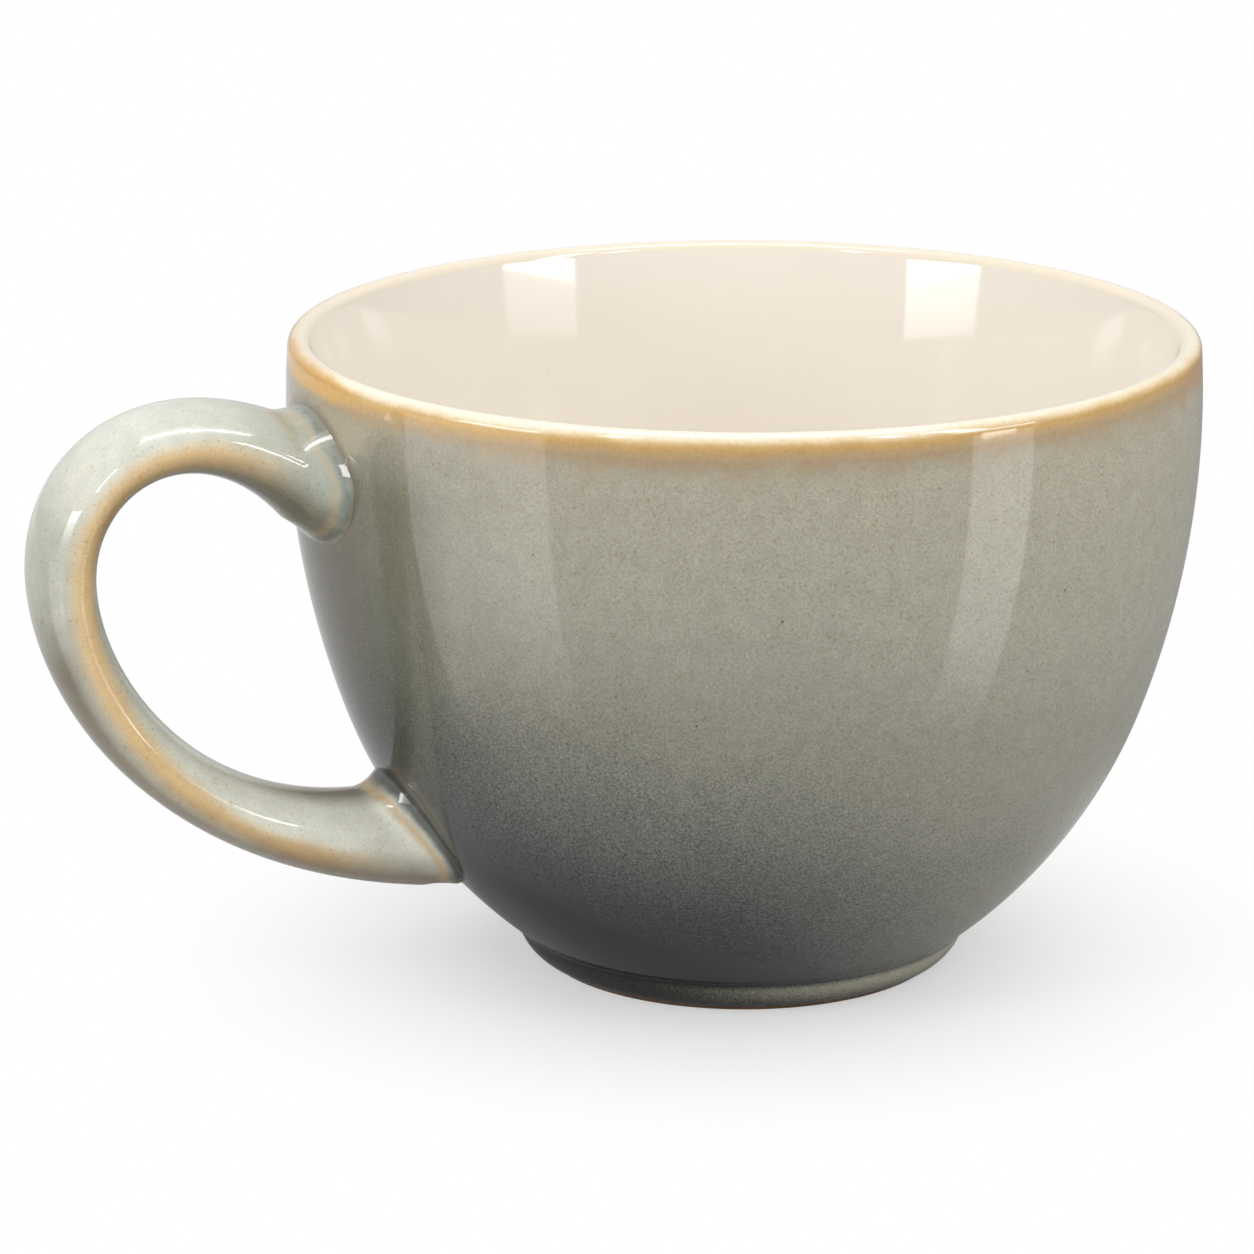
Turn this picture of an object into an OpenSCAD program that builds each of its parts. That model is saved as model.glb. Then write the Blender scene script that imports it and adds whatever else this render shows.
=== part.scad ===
// Stoneware tea cup: a thrown bowl on a turned foot ring, with a pulled loop handle and glaze coats.
// The cup stands on z = 0 with its axis on Z, and the handle points along -X.

/* [Bowl] */
// Widest outside diameter, a little below the lip
cup_d = 106; // [98:1:114]
// Height from the table to the top of the lip
cup_h = 75; // [70:0.5:82]
// Drop from the top of the lip to the widest point of the wall
widest_drop = 8.5; // [6:0.5:14]
// Radius of the upper side curve, seen in section
side_r = 103; // [92:1:125]
// Height at which the side curve turns into the belly curve
join_z = 32; // [28:0.5:38]
// Wall thickness, glaze included
wall_t = 5.2; // [4.4:0.1:6]
// Thickness that the wall thins to at the lip
lip_t = 2.6; // [2.2:0.1:3.8]
// Thickness of the floor over the recess, glaze included
floor_t = 4.6; // [3.6:0.1:6]
// Radius between the inside floor and the wall
floor_round = 14; // [8:0.5:18]

/* [Glaze] */
// Thickness of every glaze coat
glaze_t = 0.35; // [0.2:0.05:0.5]
// Height of the honey band over the lip
rim_band = 2.8; // [2.2:0.1:5]

/* [Foot] */
// Height of the crease between foot and bowl
foot_h = 4; // [3.4:0.1:5.5]
// Outside diameter of the foot at that crease
foot_top_d = 53.2; // [48:0.2:58]
// Outside diameter of the foot at the table
foot_d = 48.6; // [45:0.2:52]
// Width of the foot ring at the table
foot_ring_w = 4.4; // [3:0.1:6]
// Depth of the recess under the floor, up to its glaze
recess_h = 2.4; // [1.6:0.1:2.8]
// Rounding of the bearing edges
foot_round = 0.7; // [0.4:0.1:1]
// Height of the bare clay left below the glaze on the foot
bare_h = 0.6; // [0.5:0.1:1.2]

/* [Handle line] */
// Wall left between the honey band and the top of the upper root
root_clear = 1.6; // [1.5:0.1:6]
// Rise of the handle where it leaves the wall, in degrees
upper_rise = 39; // [28:1:44]
// Pull of the upper curve away from the wall
upper_pull = 19; // [15:0.5:23]
// Distance from the widest wall to the middle of the handle at its furthest
stand_off = 29; // [26:0.5:35]
// Drop from the upper root to that furthest point
reach_drop = 9; // [6:0.5:12]
// Fullness of the loop above its furthest point
upper_bow = 13.3; // [11:0.1:16]
// Fullness of the loop below its furthest point
lower_bow = 13.4; // [11:0.1:17]
// Height at which the handle comes back to the wall
lower_root_z = 18.8; // [17:0.2:22]
// Pull of the lower curve away from the wall
lower_pull = 28; // [23:0.5:32]

/* [Handle section] */
// Thickness of the handle in the plane of the loop
handle_t = 6.6; // [5.6:0.1:8]
// Width of the handle across the loop, at the top
handle_w = 14.4; // [11:0.1:16]
// Width of the handle across the loop, at the lower root
tail_w = 11.4; // [9:0.1:14]
// Thickness that the upper root gains
upper_flare_t = 3.6; // [2:0.1:5]
// Width that the upper root gains
upper_flare_w = 6.2; // [3:0.1:8]
// Length of the upper flare
upper_flare_l = 25; // [18:0.5:30]
// Thickness that the lower root gains
lower_flare_t = 5.6; // [3:0.1:7]
// Length of the lower flare
lower_flare_l = 34; // [24:0.5:40]
// Radius of the fillet between handle and wall
root_fillet = 2; // [1.2:0.1:3]
// Thickness of the joining slip under each root, measured from the clay wall
slip_t = 0.9; // [0.6:0.05:1.4]

/* [Hidden] */
$fn = 180;

// Bowl curves: the side arc is widest at widest_z, and the belly arc is tangent to it at join_z
// and runs down through the crease of the foot
widest_z = cup_h - widest_drop;
side_c = [cup_d / 2 - side_r, widest_z];
join_sin = (widest_z - join_z) / side_r;
join_dir = [sqrt(1 - join_sin * join_sin), -join_sin];
crease = [foot_top_d / 2, foot_h];
crease_v = crease - side_c;
centre_step = (side_r * side_r - crease_v * crease_v) / (2 * (side_r - crease_v * join_dir));
belly_c = side_c + centre_step * join_dir;
belly_r = side_r - centre_step;

// Lip: a round that runs on from the outer arc and from a straight lean inside, which thins the wall
lip_r = lip_t / 2;
lip_rise = asin((cup_h - lip_r - widest_z) / (side_r - lip_r));
lip_lean = acos((side_r - wall_t + lip_r) / (side_r - lip_r)) - lip_rise;
lip_c = side_c + (side_r - lip_r) * [cos(lip_rise), sin(lip_rise)];
lip_lap = 0.3;
rim_z = cup_h - rim_band;

// Floor: flat in the middle, then a round that is tangent to the inner belly arc
floor_z = recess_h + floor_t;
base_z = recess_h + glaze_t;
round_reach = belly_r - wall_t - floor_round;
round_z = floor_z + floor_round;
round_x = belly_c.x + sqrt(round_reach * round_reach - (round_z - belly_c.y) * (round_z - belly_c.y));

// Foot: a rounded bearing edge, and a side that leans out to the crease
foot_in_r = foot_d / 2 - foot_ring_w;
edge_out = [foot_d / 2 - glaze_t - foot_round, foot_round];
edge_in = [foot_in_r + foot_round, foot_round];
edge_reach = norm(crease - edge_out);
foot_lean = atan2(crease.y - edge_out.y, crease.x - edge_out.x) - acos((foot_round + glaze_t) / edge_reach);
crease_n = (crease - belly_c) / belly_r;
crease_lap = 0.05;
edge_steps = 8;

// Handle: two cubic curves that meet upright at the furthest point
upper_dir = [cos(upper_rise), sin(upper_rise)];
lower_dir = [1, 0];
upper_root_half = (handle_t + upper_flare_t) / 2;
upper_root_z = rim_z - root_clear - root_fillet - upper_root_half / cos(upper_rise);
upper_root = [wall_r(upper_root_z), upper_root_z];
lower_root = [wall_r(lower_root_z), lower_root_z];
far_point = [cup_d / 2 + stand_off, upper_root_z - reach_drop];
upper_curve = [upper_root, upper_root + upper_pull * upper_dir, far_point + [0, upper_bow], far_point];
lower_curve = [far_point, far_point - [0, lower_bow], lower_root + lower_pull * lower_dir, lower_root];
curve_steps = 15;
crowding = 1.35;
sides = 28;
lead_in = 9;
lead_steps = 6;
root_rings = lead_steps + 8;

// Slack that lets cutting shapes run past what they cut
slack = 1;
far = 2 * cup_d;

// Height at which the two arcs meet on a surface lying d inside the outer one
function join_at(d) = widest_z - (side_r - d) * join_sin;

// Height at which such a surface leaves the side arc for the straight lean below the lip
function lean_at(d) = widest_z - (side_r - d) * sin(lip_lean);

// Radius of the outer surface at height z
function wall_r(z) =
    let(
        upper = z > join_at(0),
        c = upper ? side_c : belly_c,
        r = upper ? side_r : belly_r
    )
    c.x + sqrt(r * r - (z - c.y) * (z - c.y));

// Centre of the arc that carries the wall at the height of a point [radius, z]
function arc_c(q) = q.y > join_at(0) ? side_c : belly_c;
function arc_r(q) = q.y > join_at(0) ? side_r : belly_r;

// Cubic curve through four control points
function cubic(p, t) =
    pow(1 - t, 3) * p[0] + 3 * pow(1 - t, 2) * t * p[1] + 3 * (1 - t) * t * t * p[2] + pow(t, 3) * p[3];
function cubic_dir(p, t) =
    let(v = pow(1 - t, 2) * (p[1] - p[0]) + 2 * (1 - t) * t * (p[2] - p[1]) + t * t * (p[3] - p[2]))
    v / norm(v);

// Stations of the handle's centre line, as [point, direction], crowded towards the roots,
// with a lead into the wall at each end
upper_lead = [for (i = [lead_steps : -1 : 1]) [upper_root - lead_in * i / lead_steps * upper_dir, upper_dir]];
upper_run = [for (i = [0 : curve_steps - 1])
    let(t = pow(i / curve_steps, crowding)) [cubic(upper_curve, t), cubic_dir(upper_curve, t)]];
lower_run = [for (i = [0 : curve_steps])
    let(t = 1 - pow(1 - i / curve_steps, crowding)) [cubic(lower_curve, t), cubic_dir(lower_curve, t)]];
lower_lead = [for (i = [1 : lead_steps]) [lower_root - lead_in * i / lead_steps * lower_dir, -lower_dir]];
stations = concat(upper_lead, upper_run, lower_run, lower_lead);
last_station = len(stations) - 1;

// Flare of a root: full at the wall and gone after its length
function flare(p, root, length) = pow(max(0, 1 - norm(p - root) / length), 2);
function half_t(p) =
    (handle_t + upper_flare_t * flare(p, upper_root, upper_flare_l)
              + lower_flare_t * flare(p, lower_root, lower_flare_l)) / 2;
function half_w(p) =
    let(down = (upper_root.y - min(upper_root.y, max(lower_root.y, p.y))) / (upper_root.y - lower_root.y))
    (handle_w + (tail_w - handle_w) * down + upper_flare_w * flare(p, upper_root, upper_flare_l)) / 2;

// Fillet: a point near the wall is pushed out along the handle's normal, more where the corner is tight
function fillet_push(p, n) =
    let(
        q = [norm([p.x, p.y]), p.z],
        v = q - arc_c(q),
        near = min(1, max(0, 1 - (norm(v) - arc_r(q)) / root_fillet)),
        wall_n = [v.x / norm(v) * p.x / q.x, v.x / norm(v) * p.y / q.x, v.y / norm(v)]
    )
    root_fillet * near * near * max(0, 1 - wall_n * n);

// One point of the handle's skin: station s, angle a round the oval, grown by g
function skin_point(s, a, g) =
    let(
        p = s[0],
        across = [-s[1].y, s[1].x],
        ht = half_t(p),
        hw = half_w(p),
        raw_n = [cos(a) / ht * across.x, sin(a) / hw, cos(a) / ht * across.y],
        n = raw_n / norm(raw_n),
        r = p + ht * cos(a) * across,
        flip_n = [-n.x, n.y, n.z],
        on_oval = [-r.x, hw * sin(a), r.y]
    )
    on_oval + (g + fillet_push(on_oval, flip_n)) * flip_n;
function ring(i, g) = [for (k = [0 : sides - 1]) skin_point(stations[i], 360 * k / sides, g)];

// Faces between ring i and the next, and the fan that closes an end
function band_faces(start, count) = [for (i = [0 : count - 2]) for (k = [0 : sides - 1])
    let(a = start + i * sides + k, b = start + i * sides + (k + 1) % sides)
    each [[a, b, b + sides], [a, b + sides, a + sides]]];
function flipped(faces) = [for (f = faces) [f[0], f[2], f[1]]];

// Arc points of a rounded edge
function arc_points(c, r, from, to) = [for (i = [0 : edge_steps])
    let(a = from + (to - from) * i / edge_steps) c + r * [cos(a), sin(a)]];

// Region from the axis out to an arc, between two heights, run on into the region above it
module under_arc(c, r, low, high) {
    intersection() {
        translate(c) circle(r);
        translate([0, low]) square([far, high - low + slack]);
    }
}

// Filled outline of the bowl, d inside its outer surface
module bowl_outline(d, low) {
    under_arc(belly_c, belly_r - d, low, join_at(d));
    under_arc(side_c, side_r - d, join_at(d), cup_h);
}

// Half plane above or below the chord on which a lip round of radius r meets both faces, sunk by lap
module lip_side(above, r, lap) {
    chord = r * sin((lip_rise + lip_lean) / 2) - lap;
    translate(lip_c) rotate((lip_rise - lip_lean) / 2)
        translate([-far, above ? chord : chord - far]) square([2 * far, far]);
}

// Outline of the hollow, d inside the outer surface, with its flat floor and round
module hollow_outline(d) {
    level = floor_z - (wall_t - d);
    turn_r = floor_round + wall_t - d;
    turn_z = belly_c.y + (belly_r - d) * (round_z - belly_c.y) / round_reach;
    translate([0, level]) square([round_x, turn_z - level + slack]);
    under_arc([round_x, round_z], turn_r, level - slack, turn_z);
    under_arc(belly_c, belly_r - d, turn_z, join_at(d));
    under_arc(side_c, side_r - d, join_at(d), lean_at(d));
    intersection() {
        translate(side_c) rotate(-lip_lean) translate([-far, -far]) square([far + side_r - d, 2 * far]);
        translate([0, lean_at(d)]) square([far, cup_h + slack - lean_at(d)]);
    }
}

// Wall and floor, with the round of the lip, d inside both faces
module shell_outline(d) {
    difference() {
        intersection() {
            bowl_outline(d, base_z);
            lip_side(false, lip_r - d, 0);
        }
        hollow_outline(wall_t - d);
    }
    intersection() {
        translate(lip_c) circle(lip_r - d);
        lip_side(true, lip_r - d, lip_lap);
    }
}

// Outline of the foot ring, grown outwards by g on its outer side, run square into the bowl at the crease
module foot_outline(g) {
    r = foot_round + g;
    side_top = crease - (glaze_t - g + crease_lap) * crease_n;
    top = side_top - slack * crease_n;
    polygon(concat(
        arc_points(edge_in, foot_round, 180, 270),
        arc_points(edge_out, r, 270, 360 + foot_lean),
        [side_top, top, [foot_in_r, top.y]]
    ));
}

// Solid of the handle between two stations, grown by g
module loft(first, last, g) {
    count = last - first + 1;
    points = [for (i = [first : last]) each ring(i, g)];
    start_fan = [for (k = [1 : sides - 2]) [0, k + 1, k]];
    top = (count - 1) * sides;
    end_fan = [for (k = [1 : sides - 2]) [top, top + k, top + k + 1]];
    polyhedron(points, flipped(concat(band_faces(0, count), start_fan, end_fan)));
}

// Filled solid of the bowl, d inside its outer surface, that roots are cut to
module bowl_core(d) {
    rotate_extrude() bowl_outline(d, base_z);
}

module bowl() {
    color("BurlyWood") rotate_extrude() shell_outline(glaze_t);
}

module foot_ring() {
    color("Peru") rotate_extrude() difference() {
        foot_outline(0);
        bowl_outline(glaze_t, base_z);
    }
}

module handle() {
    color("Tan") difference() {
        loft(0, last_station, 0);
        bowl_core(glaze_t - slip_t);
    }
}

module upper_joint() {
    color("SlateGray") difference() {
        intersection() {
            loft(0, root_rings, 0);
            bowl_core(glaze_t - slip_t);
        }
        bowl_core(glaze_t);
    }
}

module lower_joint() {
    color("SlateGray") difference() {
        intersection() {
            loft(last_station - root_rings, last_station, 0);
            bowl_core(glaze_t - slip_t);
        }
        bowl_core(glaze_t);
    }
}

module liner_glaze() {
    color("Linen") rotate_extrude() difference() {
        intersection() {
            hollow_outline(wall_t - glaze_t);
            square([far, rim_z]);
        }
        hollow_outline(wall_t);
    }
}

module rim_glaze() {
    color("Goldenrod") rotate_extrude() difference() {
        shell_outline(0);
        shell_outline(glaze_t);
        square([far, rim_z]);
    }
}

module outer_glaze() {
    color("DarkSlateGray") difference() {
        rotate_extrude() difference() {
            intersection() {
                union() {
                    bowl_outline(0, foot_h);
                    foot_outline(glaze_t);
                }
                translate([0, bare_h]) square([far, rim_z - bare_h]);
            }
            bowl_outline(glaze_t, base_z);
            foot_outline(0);
        }
        loft(0, root_rings, 0);
        loft(last_station - root_rings, last_station, 0);
    }
}

module handle_glaze() {
    color("DarkSeaGreen") difference() {
        loft(0, last_station, glaze_t);
        loft(0, last_station, 0);
        bowl_core(0);
    }
}

module base_glaze() {
    color("Linen") translate([0, 0, recess_h]) cylinder(r = foot_in_r, h = glaze_t);
}

bowl();
foot_ring();
handle();
upper_joint();
lower_joint();
liner_glaze();
rim_glaze();
outer_glaze();
handle_glaze();
base_glaze();
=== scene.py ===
import math

import bpy
import numpy as np
from mathutils import Matrix, Vector


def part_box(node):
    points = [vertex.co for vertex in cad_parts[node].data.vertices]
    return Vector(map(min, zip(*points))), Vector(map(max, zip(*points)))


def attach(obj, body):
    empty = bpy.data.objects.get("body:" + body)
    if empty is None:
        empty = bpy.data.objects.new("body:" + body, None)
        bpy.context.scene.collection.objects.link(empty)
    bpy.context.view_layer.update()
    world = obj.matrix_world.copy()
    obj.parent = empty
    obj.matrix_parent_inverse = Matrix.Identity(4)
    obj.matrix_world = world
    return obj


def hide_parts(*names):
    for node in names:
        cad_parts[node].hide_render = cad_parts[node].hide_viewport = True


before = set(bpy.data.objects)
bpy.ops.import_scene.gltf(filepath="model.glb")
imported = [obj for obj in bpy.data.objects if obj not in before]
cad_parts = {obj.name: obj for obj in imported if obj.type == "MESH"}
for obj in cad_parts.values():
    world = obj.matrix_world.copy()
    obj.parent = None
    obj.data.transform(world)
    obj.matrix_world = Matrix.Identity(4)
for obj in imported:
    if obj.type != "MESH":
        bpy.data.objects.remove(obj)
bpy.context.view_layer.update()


# The bowl is thrown in one piece from buff stoneware clay and fired hard. Its wall thins to the lip.
# Once glazed, the clay shows nowhere, so the turned solid keeps its shape and gets the fired body's finish.

MM = 0.001


def from_swatch(red, green, blue):
    """A colour read off a glaze swatch, 0 to 255, as the linear value that a shader takes."""
    swatch = [c / 255 for c in (red, green, blue)]
    return (*[c / 12.92 if c <= 0.04045 else ((c + 0.055) / 1.055) ** 2.4 for c in swatch], 1.0)


def put(tree, kind, inputs=None, **settings):
    """One shader node, with its settings, and its inputs linked to sockets or set to values."""
    made = tree.nodes.new(kind)
    for name, value in settings.items():
        setattr(made, name, value)
    for name, value in (inputs or {}).items():
        if isinstance(value, bpy.types.NodeSocket):
            tree.links.new(value, made.inputs[name])
        else:
            made.inputs[name].default_value = value
    return made


def in_mm(tree):
    """The point on the cup in millimetres, so that every grain size below reads as a real one."""
    place = put(tree, "ShaderNodeTexCoord").outputs["Object"]
    return put(tree, "ShaderNodeVectorMath", {0: place, "Scale": 1 / MM}, operation="SCALE").outputs[0]


def grain(tree, place, size, detail=3.0, rough=0.55, swirl=0.0):
    """Noise whose blots are about size millimetres across, from 0 to 1."""
    inputs = {"Vector": place, "Scale": 1 / size, "Detail": detail, "Roughness": rough, "Distortion": swirl}
    return put(tree, "ShaderNodeTexNoise", inputs).outputs["Fac"]


def fade(tree, value, start, end, low=0.0, high=1.0):
    """Low up to start, high from end on, and a soft step between them."""
    inputs = {"Value": value, "From Min": start, "From Max": end, "To Min": low, "To Max": high}
    return put(tree, "ShaderNodeMapRange", inputs, interpolation_type="SMOOTHSTEP").outputs[0]


def over(tree, share, under, upper, way="MIX"):
    """The upper colour laid over the under one by its share."""
    made = put(tree, "ShaderNodeMix", {0: share}, data_type="RGBA", blend_type=way)
    for slot, colour in ((6, under), (7, upper)):
        if isinstance(colour, bpy.types.NodeSocket):
            tree.links.new(colour, made.inputs[slot])
        else:
            made.inputs[slot].default_value = colour
    return made.outputs[2]


def new_finish(name):
    """A material with its tree and its shader, ready for a colour."""
    finish = bpy.data.materials.new(name)
    finish.use_nodes = True
    return finish, finish.node_tree, finish.node_tree.nodes["Principled BSDF"]


def fired_clay(name, body, toasted):
    """Matt stoneware: body colour with toasted blooms, fine grog and iron specks, and a sandy surface."""
    finish, tree, shader = new_finish(name)
    place = in_mm(tree)
    bloom = fade(tree, grain(tree, place, 9.0), 0.35, 0.7)
    grog = grain(tree, place, 0.45, detail=5.0, rough=0.7)
    colour = over(tree, bloom, body, toasted)
    colour = over(tree, fade(tree, grog, 0.55, 0.75, 0.0, 0.35), colour, from_swatch(232, 205, 170))
    colour = over(tree, fade(tree, grain(tree, place, 0.8), 0.68, 0.76), colour, from_swatch(84, 52, 34))
    tree.links.new(colour, shader.inputs["Base Color"])
    tree.links.new(fade(tree, grog, 0.2, 0.8, 0.72, 0.9), shader.inputs["Roughness"])
    bump = put(tree, "ShaderNodeBump", {"Height": grog, "Strength": 0.5, "Distance": 0.06 * MM})
    tree.links.new(bump.outputs[0], shader.inputs["Normal"])
    return finish


def refinish(node, finish):
    """Give a turned solid that keeps its shape a new finish."""
    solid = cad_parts[node].data
    solid.materials.clear()
    solid.materials.append(finish)


refinish("bowl", fired_clay("buff_stoneware", from_swatch(201, 170, 132), from_swatch(186, 142, 98)))


# The foot ring is turned from the same clay at the leather-hard stage, and carries the cup.
# Its bearing edge is wiped clean of glaze before the firing, so a thin line of toasted clay shows there.

refinish("foot_ring", fired_clay("toasted_foot", from_swatch(140, 102, 72), from_swatch(112, 78, 52)))


# The handle is pulled from the same clay into a tapering loop of oval section, flared at both roots.
# It lies wholly under its own coat of glaze.

refinish("handle", fired_clay("pulled_clay", from_swatch(203, 173, 136), from_swatch(188, 148, 104)))


# Slip, a cream of the same clay, joins each root of the handle to the scored wall.
# It fires grey and close-grained, and the glaze over the roots hides it.

joining_slip = fired_clay("joining_slip", from_swatch(150, 146, 138), from_swatch(132, 124, 112))
refinish("upper_joint", joining_slip)
refinish("lower_joint", joining_slip)


# The recess under the base is glazed dark with the outside, up to the inner edge of the foot ring.
# A thin coat pools to a soft gloss there, with pinholes left by the firing.

def glossy(tree, shader, colour, place, sheen):
    """A fired glaze: the colour under a clear gloss that is never quite flat."""
    tree.links.new(colour, shader.inputs["Base Color"])
    shader.inputs["IOR"].default_value = 1.52
    wear = grain(tree, place, 6.0, detail=2.0)
    tree.links.new(fade(tree, wear, 0.3, 0.7, sheen * 0.8, sheen * 1.3), shader.inputs["Roughness"])
    ripple = grain(tree, place, 5.0, detail=1.0)
    bump = put(tree, "ShaderNodeBump", {"Height": ripple, "Strength": 0.25, "Distance": 0.03 * MM})
    tree.links.new(bump.outputs[0], shader.inputs["Normal"])


def sums(tree, kind, first, second):
    """Two values put together by the shader: added, multiplied, or the like."""
    return put(tree, "ShaderNodeMath", {0: first, 1: second}, operation=kind).outputs[0]


def freckles(tree, place, spacing, size, share):
    """Round specks of iron, size millimetres across, in a share of cells of the given spacing."""
    cells = put(tree, "ShaderNodeTexVoronoi", {"Vector": place, "Scale": 1 / spacing, "Randomness": 1.0})
    spot = fade(tree, cells.outputs["Distance"], 0.3 * size / spacing, 0.7 * size / spacing, 1.0, 0.0)
    pick = put(tree, "ShaderNodeSeparateColor", {0: cells.outputs["Color"]}).outputs[0]
    return sums(tree, "MULTIPLY", spot, sums(tree, "LESS_THAN", pick, share))


base_coat, tree, shader = new_finish("dark_base_glaze")
place = in_mm(tree)
colour = over(tree, grain(tree, place, 1.2, swirl=1.0), from_swatch(70, 76, 76), from_swatch(104, 106, 96))
colour = over(tree, freckles(tree, place, 3.0, 0.4, 0.5), colour, from_swatch(58, 44, 34))
glossy(tree, shader, colour, place, sheen=0.12)
refinish("base_glaze", base_coat)


# The liner is a cream glaze poured in, swirled round and tipped out, so it covers the inside up to the lip.
# Its curve is the bowl's own: a flat floor, a round, the belly, the side, and a straight lean below the lip.

cup_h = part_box("rim_glaze")[1].z / MM
rim_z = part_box("rim_glaze")[0].z / MM
cup_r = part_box("outer_glaze")[1].y / MM
recess_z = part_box("base_glaze")[0].z / MM
glaze_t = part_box("base_glaze")[1].z / MM - recess_z
widest_drop = 8.5
widest_z = cup_h - widest_drop
side_r = 103
join_z = 32
wall_t = 5.2
lip_t = 2.6
floor_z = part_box("liner_glaze")[0].z / MM + glaze_t
floor_round = 14
foot_h = 4
crease_r = 26.6
crease = np.array([crease_r, foot_h])

side_c = np.array([cup_r - side_r, widest_z])
join_sin = (widest_z - join_z) / side_r
join_dir = np.array([math.sqrt(1 - join_sin ** 2), -join_sin])
to_crease = crease - side_c
centre_step = (side_r ** 2 - to_crease @ to_crease) / (2 * (side_r - to_crease @ join_dir))
belly_c = side_c + centre_step * join_dir
belly_r = side_r - centre_step
lip_r = lip_t / 2
lip_rise = math.asin((cup_h - lip_r - widest_z) / (side_r - lip_r))
lip_lean = math.acos((side_r - wall_t + lip_r) / (side_r - lip_r)) - lip_rise
lip_c = side_c + (side_r - lip_r) * np.array([math.cos(lip_rise), math.sin(lip_rise)])
join_turn = -math.asin(join_sin)


def sweep(centre, radius, start, end, pitch=0.7):
    """Points along an arc of the section, about pitch millimetres apart, end points included."""
    count = max(6, math.ceil(abs(end - start) * radius / pitch))
    turns = np.linspace(start, end, count + 1)
    return [centre + radius * np.array([math.cos(turn), math.sin(turn)]) for turn in turns]


def straight(start, end, pitch=0.7):
    """Points along a straight stretch of the section, about pitch millimetres apart."""
    way = np.subtract(end, start)
    count = max(2, math.ceil(np.linalg.norm(way) / pitch))
    return [np.add(start, way * i / count) for i in range(count + 1)]


def joined(*stretches):
    """Stretches of a section end to end, with the points that they share kept once."""
    line = list(stretches[0])
    for stretch in stretches[1:]:
        line += list(stretch)[1:]
    return np.array(line)


def coat_loop(face, thick, rolled=False):
    """Closed section of a coat: its face, run with the coat on its left, and the clay side, thick below it.
    A rolled coat starts with the half round that glaze draws itself up into at a wiped edge."""
    along = np.gradient(face, axis=0)
    along /= np.linalg.norm(along, axis=1)[:, None]
    out = np.c_[along[:, 1], -along[:, 0]]
    back = face - np.broadcast_to(thick, len(face))[:, None] * out
    start = []
    if rolled:
        middle = (face[0] + back[0]) / 2
        for turn in np.linspace(math.pi, 0, 9)[1:-1]:
            start.append(middle + thick / 2 * (math.cos(turn) * out[0] - math.sin(turn) * along[0]))
    return np.vstack([np.array(start).reshape(-1, 2), face, back[::-1]])


def as_piece(name, points, faces, crisp=40):
    """A smooth-shaded piece that rides with the cup. Edges stay where faces turn by over crisp degrees."""
    mesh = bpy.data.meshes.new(name)
    mesh.from_pydata(points, [], faces)
    mesh.shade_smooth()
    mesh.set_sharp_from_angle(angle=math.radians(crisp))
    piece = bpy.data.objects.new(name, mesh)
    bpy.context.scene.collection.objects.link(piece)
    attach(piece, "root")
    return piece


def turned(name, loop, spokes=320):
    """A solid of revolution round the cup's axis from a closed section; points on the axis become poles."""
    points, faces, rings = [], [], []
    for r, z in loop:
        if r < 1e-4:
            rings.append([len(points)] * spokes)
            points.append((0, 0, z * MM))
            continue
        rings.append(list(range(len(points), len(points) + spokes)))
        for k in range(spokes):
            turn = 2 * math.pi * k / spokes
            points.append((r * math.cos(turn) * MM, r * math.sin(turn) * MM, z * MM))
    for low, high in zip(rings, rings[1:] + rings[:1]):
        for k in range(spokes):
            corners = [low[k], low[k - 1], high[k - 1], high[k]]
            corners = [c for i, c in enumerate(corners) if c not in corners[:i]]
            if len(corners) > 2:
                faces.append(corners)
    return as_piece(name, points, faces)


in_side_r = side_r - wall_t
in_belly_r = belly_r - wall_t
round_z = floor_z + floor_round
round_turn = math.asin((round_z - belly_c[1]) / (in_belly_r - floor_round))
round_c = belly_c + (in_belly_r - floor_round) * np.array([math.cos(round_turn), math.sin(round_turn)])
lean_foot = side_c + in_side_r * np.array([math.cos(lip_lean), -math.sin(lip_lean)])
thinning = 0.10
thin_over = 13
lip_end = math.pi - lip_lean - math.atan(thinning)
lip_in = lip_c + lip_r * np.array([math.cos(lip_end), math.sin(lip_end)])


def lean_at(z):
    """Point of the straight lean inside the lip, at height z."""
    return lean_foot + (z - lean_foot[1]) * np.array([math.tan(lip_lean), 1])


def build_up(z):
    """How much thicker the liner is than its coat at the lip: it thins over the last stretch of the lean."""
    depth = np.clip(lip_in[1] - np.asarray(z), 0, thin_over)
    share = np.clip((np.asarray(z) - join_z) / (lean_foot[1] - join_z), 0, 1)
    return thinning * (depth - depth ** 2 / (2 * thin_over)) * share ** 2 * (3 - 2 * share)


def thickened(face):
    """The face moved in by the liner's own thickness."""
    return face - np.c_[build_up(face[:, 1]), np.zeros(len(face))]


liner_face = joined(
    straight((0, floor_z), (round_c[0], floor_z)),
    sweep(round_c, floor_round, -math.pi / 2, round_turn),
    sweep(belly_c, in_belly_r, round_turn, join_turn),
    sweep(side_c, in_side_r, join_turn, -lip_lean),
    straight(lean_foot, lean_at(rim_z)),
)
liner_loop = coat_loop(thickened(liner_face)[::-1], glaze_t + build_up(liner_face[::-1, 1]))
liner = turned("liner_coat", liner_loop)


def cream(tree, place):
    """Cream glaze with slow clouds in it and a few pale iron specks."""
    cloud = grain(tree, place, 14.0, detail=4.0)
    clouded = over(tree, cloud, from_swatch(237, 229, 217), from_swatch(240, 233, 222))
    return over(tree, freckles(tree, place, 9.0, 0.22, 0.25), clouded, from_swatch(204, 182, 148))


liner_finish, tree, shader = new_finish("cream_liner")
place = in_mm(tree)
glossy(tree, shader, cream(tree, place), place, sheen=0.06)
liner.data.materials.append(liner_finish)
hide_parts("liner_glaze")


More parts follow.
